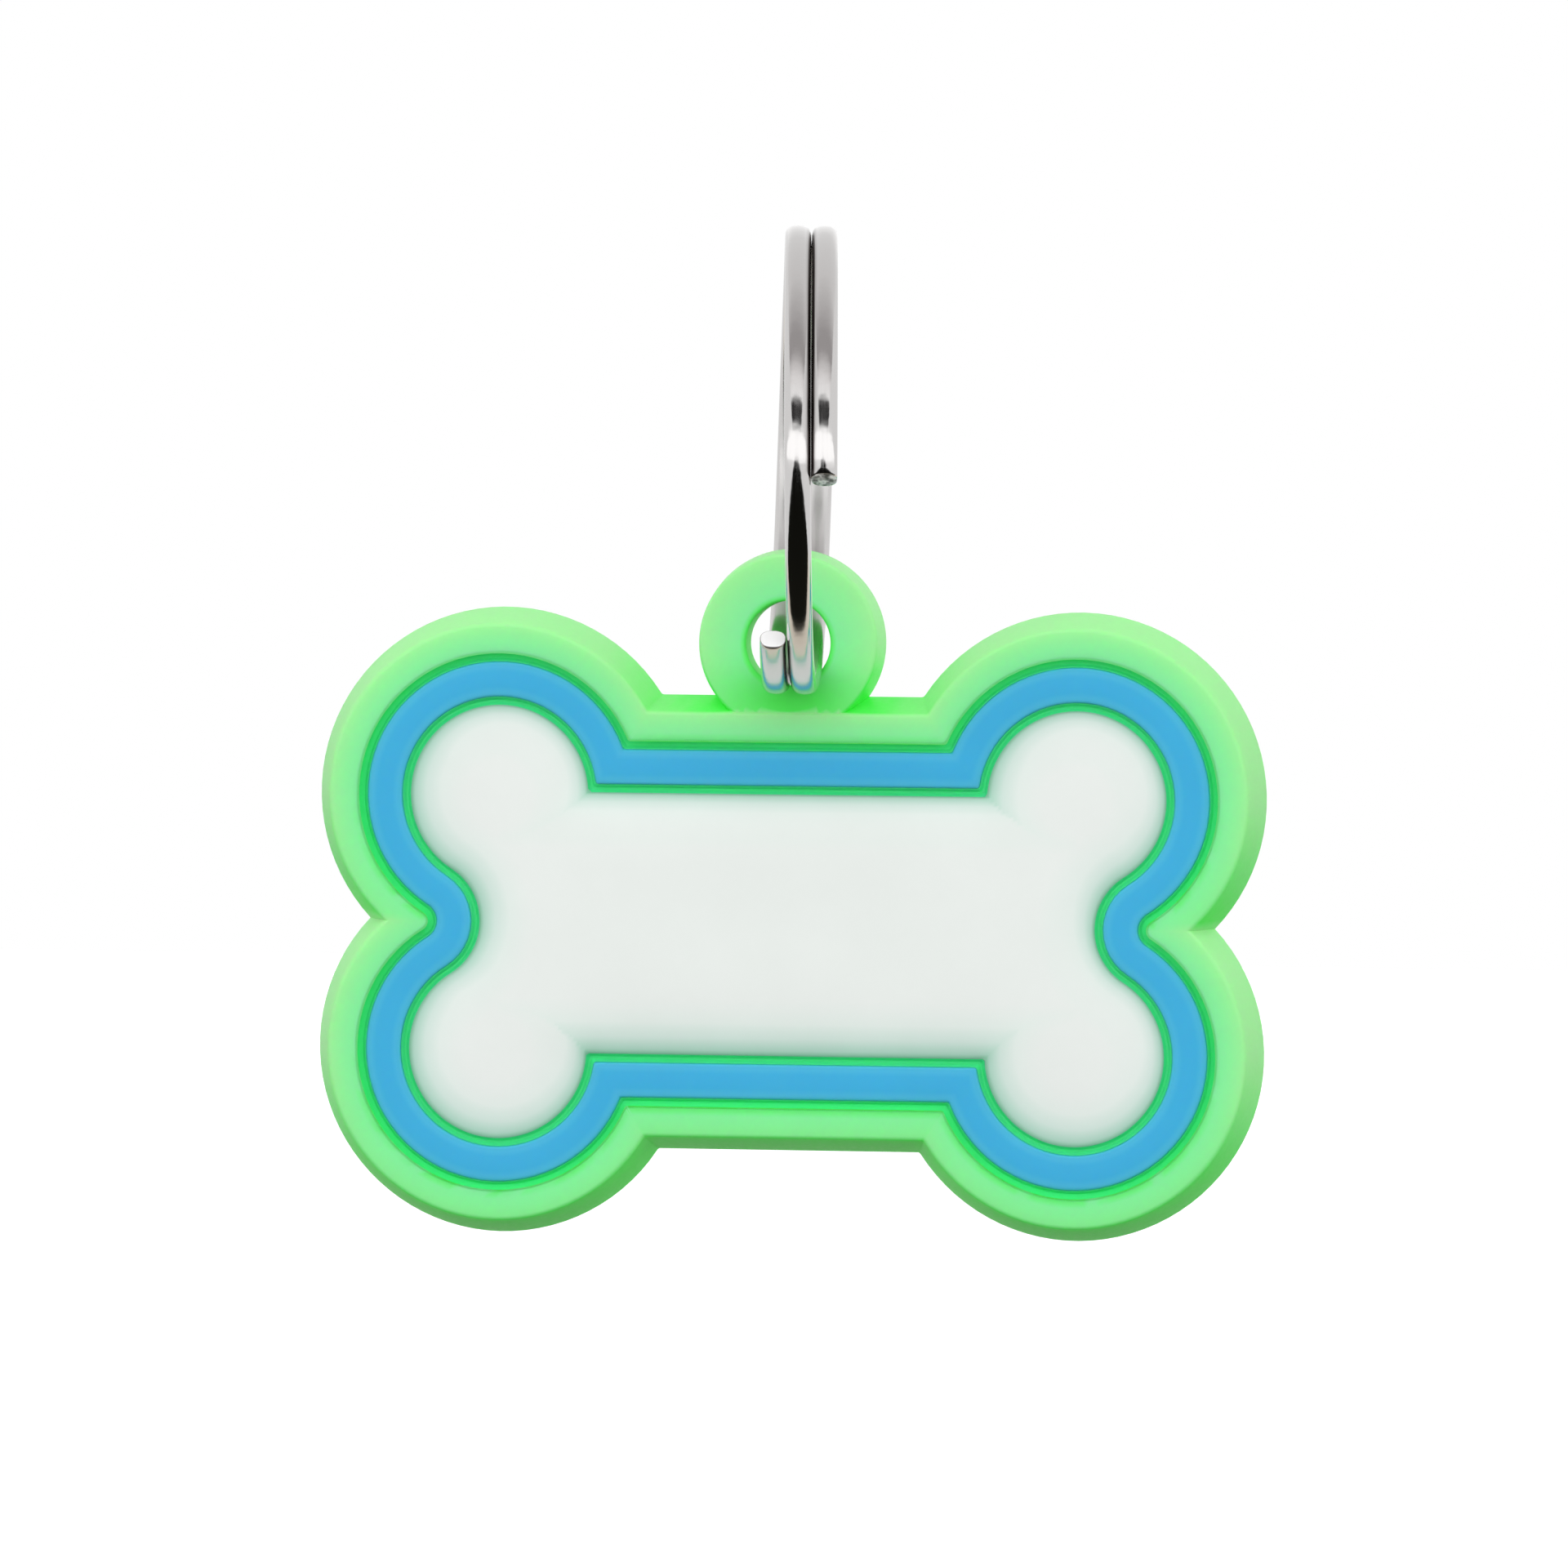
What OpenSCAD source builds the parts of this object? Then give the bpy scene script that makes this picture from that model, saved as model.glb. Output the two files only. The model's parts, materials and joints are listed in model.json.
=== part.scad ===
// Bone-shaped pet identity tag of soft moulded PVC, hung from a steel split ring.
// The origin is where the ring hangs from a collar's loop: the inside of the ring, at its top.
// X runs across the tag, its face looks along -Y, and Z points up.

/* [Tag outline] */
// Radius of each of the four lobes, at the back
lobe_r = 10; // [9:0.1:12]
// Distance between the centres of the left and right lobes
lobe_span_x = 30.8; // [28:0.1:40]
// Distance between the centres of the upper and lower lobes
lobe_span_y = 13.6; // [12:0.1:15]
// Height of the waist between the lobes, at the back
waist_h = 24.4; // [23:0.1:27]
// Thickness of the tag
tag_t = 3; // [2.6:0.1:3.4]
// How far the side wall leans in, from the back to the face
wall_draft = 0.9; // [0:0.05:1.2]
// Rounding of the edge round the face
face_edge_r = 0.35; // [0.1:0.05:0.5]
// Rounding of the edge round the back
back_edge_r = 0.15; // [0.05:0.05:0.3]

/* [Ear] */
// Height of the hole's centre over the middle of the bone
ear_y = 15; // [14.5:0.1:16]
// Outer radius of the ear, at the back
ear_r = 5; // [4.6:0.1:6]
// How far the ear's wall leans in, from the back to its face
ear_draft = 0.25; // [0:0.05:0.5]
// How far the ear's face lies below the rim
ear_drop = 0.08; // [0:0.02:0.3]
// Diameter of the hole
hole_d = 4.5; // [4.3:0.1:5]
// Rounding of the hole's two mouths
mouth_r = 0.25; // [0.1:0.05:0.4]

/* [Face relief] */
// Width of the rim, from the back's outline to the outer groove
rim_w = 2.3; // [1.8:0.1:2.6]
// Width of the groove between the rim and the stripe
outer_groove_w = 0.62; // [0.4:0.02:0.8]
// Width of the stripe
band_w = 1.88; // [1.4:0.02:2.2]
// Width of the groove between the stripe and the panel
inner_groove_w = 0.46; // [0.3:0.02:0.6]
// Depth of both grooves under the rim
groove_depth = 0.5; // [0.4:0.05:0.8]
// How far each side of a groove leans in
groove_lean = 0.12; // [0.05:0.01:0.15]
// Rounding where the outer groove turns at a side notch
notch_r = 0.35; // [0.2:0.05:0.6]
// How far the green banks beside stripe and panel lie below the rim
bank_drop = 0.3; // [0.2:0.02:0.36]
// Width of the green banks at their top
bank_w = 0.05; // [0.03:0.01:0.06]

/* [Stripe] */
// How far the stripe's top lies below the rim
band_drop = 0.12; // [0.02:0.02:0.16]
// Depth of the stripe's pocket under the rim
band_depth = 1; // [0.8:0.1:1.4]
// Rounding of the stripe's two upper edges
band_edge_r = 0.16; // [0.05:0.01:0.2]

/* [Panel] */
// How far the panel's crown lies below the rim
crown_drop = 0.02; // [0:0.01:0.06]
// Rise of the panel from its edge to its crown
crown_rise = 0.3; // [0.2:0.01:0.36]
// Width of the panel's sloping shoulder
shoulder_w = 2.1; // [1:0.1:2.4]
// Depth of the panel's pocket under the rim
panel_depth = 1.2; // [0.8:0.1:1.6]

/* [Split ring] */
// Outer diameter of the ring
ring_d = 25; // [24:0.1:26]
// Thickness of the flattened wire along the ring's radius
wire_t = 1.1; // [0.8:0.05:1.2]
// Width of the flattened wire along the ring's axis
wire_w = 1.15; // [0.8:0.05:1.2]
// Rounding of the wire's edges
wire_edge_r = 0.34; // [0.1:0.02:0.36]
// Gap between the two coils
coil_gap = 0.42; // [0.42:0.01:0.5]
// Slant of the outer end's cut
end_slant = 38; // [0:1:45]
// Angle of the ring's outer end, from the top over the front
outer_end_angle = 93; // [90:1:100]
// Angle of the ring's inner end, from the top over the front
inner_end_angle = 142; // [138:1:150]

/* [Hang] */
// How far the ring's centre is ahead of the tag's face
ring_ahead = 4.6; // [4.2:0.1:4.8]
// Height of the ring's lowest point under the hole's centre
ring_below = 2.6; // [2.5:0.05:2.65]
// How far the ring lies to the right of the hole's middle
ring_aside = 0.14; // [0:0.01:0.16]
// Turn of the ring about the vertical
ring_turn = 4.8; // [0:0.1:6]
// Lean of the ring's top to the right
ring_lean = 0.3; // [0:0.1:3]

/* [Hidden] */
$fn = 96;

// Overrun of the cuts
over = 0.5;
// Steps in a small rounding, in the panel's shoulder and in one turn of the wire
edge_steps = 5;
shoulder_steps = 8;
turn_steps = 48;
// How far along the next coil its gap is measured, and how closely
gap_reach = 0.6;
gap_step = 0.1;

// Half spans of the lobes' centres, and the ratio that ties the waist to the lobes
lobe_x = lobe_span_x / 2;
lobe_y = lobe_span_y / 2;
waist_rise = waist_h / 2 - lobe_r;

// Every line on the face is the bone's outline drawn in, so each is named by its lobe radius
groove_line = lobe_r - rim_w;
band_line = groove_line - outer_groove_w;
band_inner_line = band_line - band_w;
panel_line = band_inner_line - inner_groove_w;

// Centre of the rounding at each side notch, which all these lines share
notch_x = lobe_x + sqrt(pow(groove_line + notch_r, 2) - pow(lobe_y, 2));
// How far its rounding bites into the lobes, so that their walls cross, and where its web starts
notch_bite = 0.01;
web_in = 3;

// Heights over the back
groove_z = tag_t - groove_depth;
bank_z = tag_t - bank_drop;
band_z = tag_t - band_drop;
band_floor_z = tag_t - band_depth;
crown_z = tag_t - crown_drop;
panel_floor_z = tag_t - panel_depth;

// The panel's shoulder is an arc
shoulder_r = (pow(shoulder_w, 2) + pow(crown_rise, 2)) / (2 * crown_rise);

// The ring
ring_r = ring_d / 2;
ring_inner_r = ring_r - wire_t;
wire_r = ring_r - wire_t / 2;
coil_pitch = wire_w + coil_gap;
wind_angle = 720 + outer_end_angle - inner_end_angle;
step_angle = 360 / turn_steps;
wire_steps = ceil(wind_angle / step_angle);

// Where the hole's centre hangs under the origin, at mid thickness. The winding goes from
// right to left by one pitch a turn, so the hole's place across depends on where it is passed.
ring_centre_up = ring_r - ring_below;
ring_centre_ahead = ring_ahead + tag_t / 2;
pass_angle = 180 + asin(ring_centre_ahead / wire_r);
hole_left = coil_pitch * (360 - pass_angle) / 360 + ring_aside;
hole_at = -turned([hole_left, -ring_centre_ahead, ring_centre_up + ring_inner_r]);

// A point of the ring, turned about the vertical and then leant to the right
function turned(p) = leant([
    p[0] * cos(ring_turn) - p[1] * sin(ring_turn),
    p[0] * sin(ring_turn) + p[1] * cos(ring_turn),
    p[2]
]);
function leant(p) = [
    p[0] * cos(ring_lean) + p[2] * sin(ring_lean),
    p[1],
    p[2] * cos(ring_lean) - p[0] * sin(ring_lean)
];

// Side profiles: each point is [how far the wall has drawn in, height], from the bottom up

// A leaning outer wall with a rounded foot and a rounded upper edge
function wall_profile(height, draft, foot_r, edge_r) =
    let (
        lean = atan(draft / height),
        foot_in = foot_r * (1 + sin(lean)) / cos(lean),
        edge_in = (height - edge_r) * tan(lean) + edge_r / cos(lean)
    )
    concat(
        [for (i = [0:edge_steps])
            let (a = -90 + (90 + lean) * i / edge_steps)
            [foot_in - foot_r * cos(a), foot_r + foot_r * sin(a)]],
        [for (i = [0:edge_steps])
            let (a = lean + (90 - lean) * i / edge_steps)
            [edge_in - edge_r * cos(a), height - edge_r + edge_r * sin(a)]]
    );

// An upright wall with a rounded upper edge; a side of -1 flares it outwards instead
function rounded_profile(low, high, edge_r, side) = concat(
    [[0, low]],
    [for (i = [0:edge_steps])
        let (a = 90 * i / edge_steps)
        [side * edge_r * (1 - cos(a)), high - edge_r + edge_r * sin(a)]]
);

// An upright wall with a wide arched shoulder
function shoulder_profile(low, high) = concat(
    [[0, low]],
    [for (i = [shoulder_steps:-1:0])
        let (a = asin(shoulder_w / shoulder_r) * i / shoulder_steps)
        [shoulder_w - shoulder_r * sin(a), high - shoulder_r * (1 - cos(a))]]
);

// Half a profile round an axis, where the wall stands at radius r and draws in towards it
function turned_profile(r, profile) = concat(
    [[0, profile[0][1]]],
    [for (p = profile) [r - p[0], p[1]]],
    [[0, profile[len(profile) - 1][1]]]
);

// The same round a hollow: the wall draws away from the axis, and the cut overruns both ends
function hollow_profile(r, profile) =
    let (first = profile[0], last = profile[len(profile) - 1])
    concat(
        [[0, first[1] - over], [r + first[0], first[1] - over]],
        [for (p = profile) [r + p[0], p[1]]],
        [[r + last[0], last[1] + over], [0, last[1] + over]]
    );

// Repeats a corner's shape in all four corners of the bone
module four_corners() {
    for (side_x = [0, 1], side_y = [0, 1])
        mirror([side_x, 0, 0]) mirror([0, side_y, 0]) children();
}

// The bone with sharp notches, as its outside is: four lobes joined by the bar of the waist
module sharp_bone(line, profile) {
    half = line + waist_rise;
    four_corners()
        translate([lobe_x, lobe_y])
            rotate_extrude() polygon(turned_profile(line, profile));
    rotate([90, 0, 90])
        linear_extrude(height = lobe_span_x, center = true)
            polygon(concat(
                [for (p = profile) [half - p[0], p[1]]],
                [for (i = [len(profile) - 1:-1:0]) [profile[i][0] - half, profile[i][1]]]
            ));
}

// The bone with rounded side notches, as every line on its face is
module soft_bone(line, profile) {
    low = profile[0][1];
    high = profile[len(profile) - 1][1];
    notch = groove_line + notch_r + notch_bite - line;
    difference() {
        union() {
            sharp_bone(line, profile);
            for (side = [-1, 1])
                translate([0, 0, low])
                    linear_extrude(height = high - low)
                        polygon([
                            [side * lobe_x, lobe_y], [side * notch_x, 0],
                            [side * lobe_x, -lobe_y], [side * (lobe_x - web_in), 0]
                        ]);
        }
        for (side = [-1, 1])
            translate([side * notch_x, 0])
                rotate_extrude() polygon(hollow_profile(notch, profile));
    }
}

// The ear's disc, a little lower than the rim
module ear_disc() {
    translate([0, ear_y])
        rotate_extrude()
            polygon(turned_profile(ear_r,
                wall_profile(tag_t - ear_drop, ear_draft, back_edge_r, face_edge_r)));
}

// The hole with its two rounded mouths
module ear_hole() {
    top = tag_t - ear_drop;
    hole_r = hole_d / 2;
    translate([0, ear_y, -over]) cylinder(d = hole_d, h = tag_t + 2 * over);
    translate([0, ear_y])
        rotate_extrude()
            polygon(concat(
                [[0, 0]],
                [for (i = [0:edge_steps])
                    let (a = 90 * i / edge_steps)
                    [hole_r + mouth_r * (1 - sin(a)), mouth_r * (1 - cos(a))]],
                [[0, mouth_r]]
            ));
    translate([0, ear_y])
        rotate_extrude()
            polygon(concat(
                [[0, top]],
                [[0, top - mouth_r]],
                [for (i = [edge_steps:-1:0])
                    let (a = 90 * i / edge_steps)
                    [hole_r + mouth_r * (1 - sin(a)), top - mouth_r * (1 - cos(a))]]
            ));
}

// Space inside the rim, down to the groove's floor
module face_recess() {
    soft_bone(groove_line - groove_lean, [
        [0, groove_z],
        [-groove_lean, tag_t],
        [-groove_lean, tag_t + over]
    ]);
}

// Green plateau that carries stripe and panel, standing in the recess
module plateau() {
    soft_bone(band_line + bank_w + groove_lean, [
        [0, groove_z - over],
        [0, groove_z],
        [groove_lean, bank_z]
    ]);
}

// The groove between stripe and panel
module inner_groove() {
    difference() {
        soft_bone(band_inner_line - bank_w - groove_lean, [
            [0, groove_z],
            [-groove_lean, bank_z],
            [-groove_lean, bank_z + over]
        ]);
        soft_bone(panel_line + bank_w + groove_lean, [
            [0, groove_z - over],
            [0, groove_z],
            [groove_lean, bank_z],
            [groove_lean, bank_z + 2 * over]
        ]);
    }
}

// Stands a piece of the tag upright under the ring, its hole at the hanging place
module on_tag() {
    translate(hole_at) rotate([90, 0, 0]) translate([0, -ear_y, -tag_t / 2]) children();
}

// Green moulding with its ear, grooves and pockets
module tag_body() {
    color([0.55, 0.94, 0.62]) on_tag()
        difference() {
            union() {
                difference() {
                    union() {
                        sharp_bone(lobe_r, wall_profile(tag_t, wall_draft, back_edge_r, face_edge_r));
                        ear_disc();
                    }
                    face_recess();
                }
                plateau();
            }
            inner_groove();
            difference() {
                soft_bone(band_line, [[0, band_floor_z], [0, tag_t]]);
                soft_bone(band_inner_line, [[0, band_floor_z - over], [0, tag_t + over]]);
            }
            soft_bone(panel_line, [[0, panel_floor_z], [0, tag_t]]);
            ear_hole();
        }
}

// Blue stripe, filling its pocket
module colour_band() {
    color([0.3, 0.71, 0.87]) on_tag()
        difference() {
            soft_bone(band_line, rounded_profile(band_floor_z, band_z, band_edge_r, 1));
            soft_bone(band_inner_line, concat(
                [[0, band_floor_z - over]],
                rounded_profile(band_floor_z, band_z, band_edge_r, -1),
                [[-band_edge_r, band_z + over]]
            ));
        }
}

// White panel with its pillowed shoulder
module name_panel() {
    color([0.9, 0.93, 0.91]) on_tag()
        soft_bone(panel_line, shoulder_profile(panel_floor_z, crown_z));
}

// The wire's section: a rectangle with rounded corners, as [along the axis, along the radius]
function wire_section() =
    let (half_w = wire_w / 2 - wire_edge_r, half_t = wire_t / 2 - wire_edge_r)
    [for (corner = [0:3], step = [0:2])
        let (
            a = 90 * corner + 45 * step,
            x = (corner == 0 || corner == 3) ? half_w : -half_w,
            y = (corner < 2) ? half_t : -half_t
        )
        [x + wire_edge_r * cos(a), y + wire_edge_r * sin(a)]];

// A point of the wire's surface: wound by so many degrees, at one corner of its section.
// The origin lies midway between the two passes over the ring's top.
function wire_point(wound, corner, slip) =
    let (
        angle = outer_end_angle - wound,
        r = wire_r + corner[1],
        x = coil_pitch * (angle + 180) / 360 + corner[0]
    )
    [x, -r * sin(angle) - slip * cos(angle), r * cos(angle) - slip * sin(angle)];

// Rings of points along the wire; the first is slanted, as the outer end is cut
section = wire_section();
sides = len(section);
wire_rings = [for (i = [0:wire_steps])
    [for (corner = section)
        wire_point(
            min(i * step_angle, wind_angle),
            corner,
            i == 0 ? (wire_t / 2 - corner[1]) * tan(end_slant) : 0
        )]];

// Least gap between neighbouring coils, measured from points on one to points on the next
coil_gaps = [for (i = [0:wire_steps - turn_steps - 1], near = [-gap_reach:gap_step:gap_reach])
    min([for (a = section, b = section)
        norm(wire_point(i * step_angle, a, 0) - wire_point(i * step_angle + 360 + near, b, 0))])];
echo(least_gap_between_coils = min(coil_gaps));

// One length of wire, wound nearly twice round
module split_ring() {
    color([0.75, 0.75, 0.74])
        rotate([0, ring_lean, 0]) rotate([0, 0, ring_turn]) translate([0, 0, -ring_inner_r])
            polyhedron(
                points = [for (ring = wire_rings) for (p = ring) p],
                faces = concat(
                    [for (k = [1:sides - 2]) [0, k + 1, k]],
                    [for (i = [0:wire_steps - 1], k = [0:sides - 1])
                        [i * sides + k, i * sides + (k + 1) % sides, (i + 1) * sides + k]],
                    [for (i = [0:wire_steps - 1], k = [0:sides - 1])
                        [i * sides + (k + 1) % sides, (i + 1) * sides + (k + 1) % sides,
                            (i + 1) * sides + k]],
                    [for (k = [1:sides - 2])
                        [wire_steps * sides, wire_steps * sides + k, wire_steps * sides + k + 1]]
                ),
                convexity = 6
            );
}

tag_body();
colour_band();
name_panel();
split_ring();
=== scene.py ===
"""Looks of a bone-shaped pet id tag of soft moulded PVC on a nickel-plated split ring.

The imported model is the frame. Four pieces take the place of its four nodes, where those stand: the green
moulding, the blue stripe, the white name panel and the wound wire of the split ring.
"""

import json
import math

import bmesh
import bpy
import numpy as np
from mathutils import Matrix, Vector

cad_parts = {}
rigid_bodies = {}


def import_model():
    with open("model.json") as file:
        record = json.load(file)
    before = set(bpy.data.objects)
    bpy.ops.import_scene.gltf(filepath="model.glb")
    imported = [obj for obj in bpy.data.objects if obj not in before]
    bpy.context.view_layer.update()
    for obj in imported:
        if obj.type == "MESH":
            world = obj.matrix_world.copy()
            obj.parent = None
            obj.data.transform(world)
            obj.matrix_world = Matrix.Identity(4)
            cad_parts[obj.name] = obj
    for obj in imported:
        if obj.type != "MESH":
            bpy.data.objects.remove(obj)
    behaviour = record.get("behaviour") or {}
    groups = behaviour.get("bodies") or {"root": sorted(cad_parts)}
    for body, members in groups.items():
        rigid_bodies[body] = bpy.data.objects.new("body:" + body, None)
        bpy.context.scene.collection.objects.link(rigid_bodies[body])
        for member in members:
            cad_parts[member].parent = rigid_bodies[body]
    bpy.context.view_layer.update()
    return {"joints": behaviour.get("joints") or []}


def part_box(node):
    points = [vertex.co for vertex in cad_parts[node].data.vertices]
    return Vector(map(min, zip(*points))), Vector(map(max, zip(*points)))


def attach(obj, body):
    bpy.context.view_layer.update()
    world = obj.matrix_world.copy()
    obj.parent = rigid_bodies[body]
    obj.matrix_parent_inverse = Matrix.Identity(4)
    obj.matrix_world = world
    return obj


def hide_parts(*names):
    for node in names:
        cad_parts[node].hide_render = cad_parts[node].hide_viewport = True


bl_info = {
    "name": "Pet id tag",
    "version": (1, 0, 0),
    "blender": (4, 5, 0),
    "location": "3D View > Sidebar > Pet tag",
    "description": "Builds the looks of a bone-shaped PVC pet tag and its split ring",
    "category": "Object",
}

for leftover in list(bpy.data.objects):
    bpy.data.objects.remove(leftover)

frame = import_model()

MM = 0.001

BODY_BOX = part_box("tag_body")
BAND_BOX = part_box("colour_band")
PANEL_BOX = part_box("name_panel")

# The tag's own sizes in millimetres, as the solids have them
HOLE = Vector(next(j for j in frame["joints"] if j["name"] == "tag_swing")["pos_m"]) / MM
TAG_T = (BODY_BOX[1].y - BODY_BOX[0].y) / MM
LOBE_X = 15.4
LOBE_Y = 6.8
WAIST_RISE = 2.2
WAIST_ROUND = 0.2
BACK_ROUND = 0.15
EAR_Y = 15.0
EAR_HOLE_R = 2.25
EAR_FACE_R = 4.75
EAR_BACK_R = 5.0

# Every line on the face is the bone's outline drawn in, so each is named by the radius of its lobes.
# The rounding of the back's edge takes ROUNDED_OFF from its reach.
ROUNDED_OFF = 0.058
BACK_LINE = (BODY_BOX[1].x - BODY_BOX[0].x) / MM / 2 - LOBE_X + ROUNDED_OFF
RIM_LINE = BACK_LINE - 0.9
BAND_LINE = (BAND_BOX[1].x - BAND_BOX[0].x) / MM / 2 - LOBE_X
PANEL_LINE = (PANEL_BOX[1].x - PANEL_BOX[0].x) / MM / 2 - LOBE_X
GROOVE_LINE = BAND_LINE + 0.62
BAND_INNER_LINE = PANEL_LINE + 0.46
NOTCH_R = 0.35
NOTCH_X = LOBE_X + math.sqrt((GROOVE_LINE + NOTCH_R) ** 2 - LOBE_Y**2)
NOTCH_ANGLE = math.atan2(LOBE_Y, NOTCH_X - LOBE_X)

# Heights over the tag's back, in mm
EAR_FACE_Z = TAG_T - 0.08
BANK_Z = TAG_T - 0.3
STRIPE_Z = TAG_T - 0.12
STRIPE_FLOOR_Z = TAG_T - 1.0
PANEL_CROWN_Z = TAG_T + 0.18
PANEL_FLOOR_Z = TAG_T - 1.2
# How far the panel's edge laps over its pocket's, sideways and in height
PANEL_LAP = 0.02

# Points on each stretch of a quarter of the bone's outline
NOTCH_POINTS = 6
LOBE_POINTS = 46
CORNER_POINTS = 4
WAIST_POINTS = 10

# Points along the split ring's wire
WIRE_POINTS = 540


def linear(hex_colour):
    """An sRGB hex colour as the linear RGBA that the shaders take."""
    channels = [int(hex_colour[i : i + 2], 16) / 255 for i in (0, 2, 4)]
    return (*(c / 12.92 if c <= 0.04045 else ((c + 0.055) / 1.055) ** 2.4 for c in channels), 1.0)


def add(tree, kind, inputs=(), **settings):
    """Adds a node with its settings and its inputs, by name or in the order in which it shows them.

    Each input is a value, a socket, or a node, which stands for the first output that it shows.
    """
    made = tree.nodes.new(kind)
    for name, value in settings.items():
        setattr(made, name, value)
    if not isinstance(inputs, dict):
        shown = [number for number, socket in enumerate(made.inputs) if socket.enabled]
        inputs = dict(zip(shown, inputs))
    for name, value in inputs.items():
        if isinstance(value, bpy.types.Node):
            value = next(socket for socket in value.outputs if socket.enabled)
        if isinstance(value, bpy.types.NodeSocket):
            tree.links.new(value, made.inputs[name])
        else:
            made.inputs[name].default_value = value
    return made


def set_ramp(ramp, stops):
    """Gives a colour ramp its stops, as (place, hex or linear colour)."""
    elements = ramp.color_ramp.elements
    while len(elements) < len(stops):
        elements.new(1.0)
    for element, (place, colour) in zip(elements, stops):
        element.position = place
        element.color = linear(colour) if isinstance(colour, str) else colour
    return ramp


def new_material(name):
    """An empty material and its shader tree."""
    material = bpy.data.materials.new(name)
    material.use_nodes = True
    material.node_tree.nodes.clear()
    return material, material.node_tree


def in_frame(points):
    """Tag coordinates in mm, x across, y up and z from the back, as places in the frame in metres."""
    x, y, z = np.asarray(points, float).reshape(-1, 3).T
    return np.column_stack([HOLE.x + x, HOLE.y + TAG_T / 2 - z, HOLE.z + y - EAR_Y]) * MM


def vertex_values(piece, name):
    """The places ("co") or the normals ("normal") of a piece's vertices, a row each."""
    values = np.empty(len(piece.data.vertices) * 3)
    piece.data.vertices.foreach_get(name, values)
    return values.reshape(-1, 3)


def tag_places(piece):
    """Every vertex of a piece in the tag's own coordinates, as columns of x, y and z in mm."""
    x, y, z = vertex_values(piece, "co").T / MM
    return x - HOLE.x, z - HOLE.z + EAR_Y, HOLE.y + TAG_T / 2 - y


def keep_attribute(piece, name, values):
    """Stores one number on every vertex of a piece."""
    attribute = piece.data.attributes.new(name, "FLOAT", "POINT")
    attribute.data.foreach_set("value", np.asarray(values, np.float32))


def new_piece(name, vertices, faces, material):
    """A mesh object at the origin, its doubles merged and its faces turned outwards."""
    mesh = bpy.data.meshes.new(name)
    mesh.from_pydata([tuple(v) for v in vertices], [], [list(f) for f in faces])
    piece = bpy.data.objects.new(name, mesh)
    bpy.context.scene.collection.objects.link(piece)
    work = bmesh.new()
    work.from_mesh(mesh)
    bmesh.ops.remove_doubles(work, verts=work.verts, dist=1e-7)
    bmesh.ops.recalc_face_normals(work, faces=work.faces)
    work.to_mesh(mesh)
    work.free()
    mesh.materials.append(material)
    return piece


def settle(piece):
    """Turns a piece with modifiers into a plain mesh."""
    bpy.context.view_layer.update()
    evaluated = piece.evaluated_get(bpy.context.evaluated_depsgraph_get())
    mesh = bpy.data.meshes.new_from_object(evaluated)
    piece.modifiers.clear()
    piece.data = mesh
    mesh.name = piece.name


def smooth(piece, degrees):
    """Shades a piece smooth, apart from edges sharper than an angle."""
    piece.data.shade_smooth()
    piece.data.set_sharp_from_angle(angle=math.radians(degrees))


# The bone's outline


def bone_outline(line):
    """The bone's outline at one line, anticlockwise from the right notch, in mm.

    Every line has the same number of points, so that lines join point to point.
    """
    notch = max(GROOVE_LINE + NOTCH_R - line, 0)
    notch_x = NOTCH_X if notch > 0 else LOBE_X + math.sqrt(line**2 - LOBE_Y**2)
    start = -NOTCH_ANGLE if notch > 0 else -math.asin(LOBE_Y / line)
    waist = line + WAIST_RISE
    corner_y = waist + WAIST_ROUND
    rise = corner_y - LOBE_Y
    corner_x = LOBE_X - math.sqrt((line + WAIST_ROUND) ** 2 - rise**2)
    end = math.atan2(rise, corner_x - LOBE_X)
    quarter = []
    for a in np.linspace(math.pi, math.pi - NOTCH_ANGLE, NOTCH_POINTS + 1):
        quarter.append((notch_x + notch * math.cos(a), notch * math.sin(a)))
    for a in np.linspace(start, end, LOBE_POINTS + 1)[1:]:
        quarter.append((LOBE_X + line * math.cos(a), LOBE_Y + line * math.sin(a)))
    for a in np.linspace(end - math.pi, -math.pi / 2, CORNER_POINTS + 1)[1:]:
        quarter.append((corner_x + WAIST_ROUND * math.cos(a), corner_y + WAIST_ROUND * math.sin(a)))
    for x in np.linspace(corner_x, 0, WAIST_POINTS + 1)[1:]:
        quarter.append((x, waist))
    right = np.array(quarter)
    top = np.vstack([right, right[::-1][1:] * (-1, 1)])
    return np.vstack([top, top[::-1][1:-1] * (1, -1)])


def line_at(x, y):
    """The line that each point of the tag's plane lies on, in mm."""
    x, y = np.abs(x), np.abs(y)
    lobe = np.hypot(x - LOBE_X, y - LOBE_Y)
    bar = np.where(x < LOBE_X, np.maximum(y - WAIST_RISE, 0), np.inf)
    to_notch = GROOVE_LINE + NOTCH_R - np.hypot(x - NOTCH_X, y)
    across = (x - LOBE_X) * LOBE_Y + (y - LOBE_Y) * (NOTCH_X - LOBE_X)
    web = np.where((x >= LOBE_X) & (y < LOBE_Y) & (across < 0), to_notch, np.inf)
    bulge = np.where(x < LOBE_X, to_notch, -np.inf)
    return np.maximum(np.minimum(np.minimum(lobe, bar), web), bulge)


def line_faces(x, y, step=0.05):
    """How far the line through each point faces right and up, from -1 to 1."""
    right = line_at(x + step, y) - line_at(x - step, y)
    up = line_at(x, y + step) - line_at(x, y - step)
    return right / (2 * step), up / (2 * step)


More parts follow.
